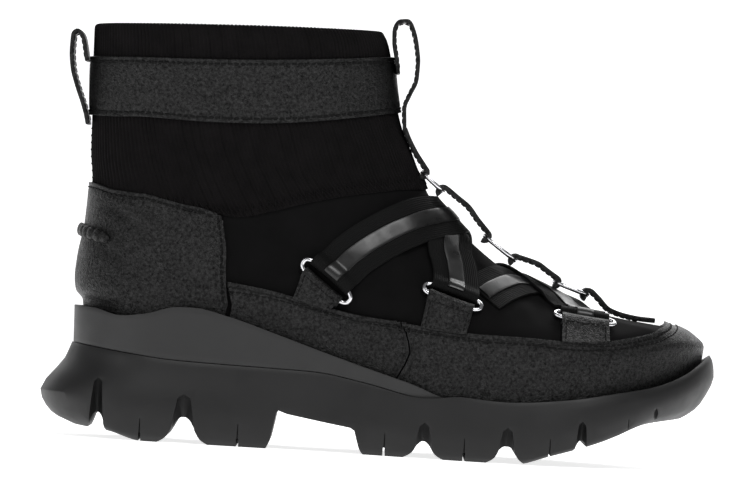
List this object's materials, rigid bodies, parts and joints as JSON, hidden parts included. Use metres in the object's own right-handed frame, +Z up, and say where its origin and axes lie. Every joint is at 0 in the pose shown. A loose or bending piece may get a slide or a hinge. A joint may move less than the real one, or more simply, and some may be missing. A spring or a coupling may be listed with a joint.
{
  "type": "slip-on ankle boot",
  "caption": "Black slip-on ankle boot with a knitted shaft, crossed elastic straps through oval rings, leather guards and a chunky lugged sole.",
  "frame": {"origin": "on the ground, under the middle of the sole's length and width", "axes": "+X from heel to toe, +Y to the wearer's inner side, +Z up"},
  "size_m": [0.285, 0.1081, 0.1838],
  "materials": {
    "outsole_rubber": "satin-matt moulded rubber, black",
    "midsole_foam": "smooth matt foam, black",
    "insole_lining": "matt woven lining, black",
    "stretch_vamp": "very matt napped stretch fabric, black",
    "shaft_knit": "finely ribbed stretch knit, black",
    "black_leather": "fine pebbled satin leather, black",
    "black_elastic": "ribbed elastic webbing, black",
    "dark_metal": "smooth gunmetal wire"
  },
  "bodies": {
    "root": {"outsole": "outsole_rubber", "midsole": "midsole_foam", "insole": "insole_lining", "upper": "stretch_vamp", "shaft": "shaft_knit", "collar_band": "black_leather", "heel_counter": "black_leather", "heel_whip": "black_leather", "toe_guard": "black_leather", "side_guard_outer": "black_leather", "side_guard_inner": "black_leather", "side_ring_1_outer": "dark_metal", "ring_tab_1_outer": "black_leather", "side_ring_1_inner": "dark_metal", "ring_tab_1_inner": "black_leather", "centre_ring_1": "dark_metal", "side_ring_2_outer": "dark_metal", "ring_tab_2_outer": "black_leather", "side_ring_2_inner": "dark_metal", "ring_tab_2_inner": "black_leather", "centre_ring_2": "dark_metal", "side_ring_3_outer": "dark_metal", "ring_tab_3_outer": "black_leather", "side_ring_3_inner": "dark_metal", "ring_tab_3_inner": "black_leather", "centre_ring_3": "dark_metal", "centre_strap_1": "black_leather", "centre_strap_2": "black_leather", "centre_strap_3": "black_leather", "centre_strap_4": "black_leather", "rear_strap_outer": "black_elastic", "rear_strap_inner": "black_elastic", "fore_strap_outer": "black_elastic", "fore_strap_inner": "black_elastic", "heel_pull_loop": "black_leather", "front_pull_loop": "black_leather"}
  },
  "joints": []
}
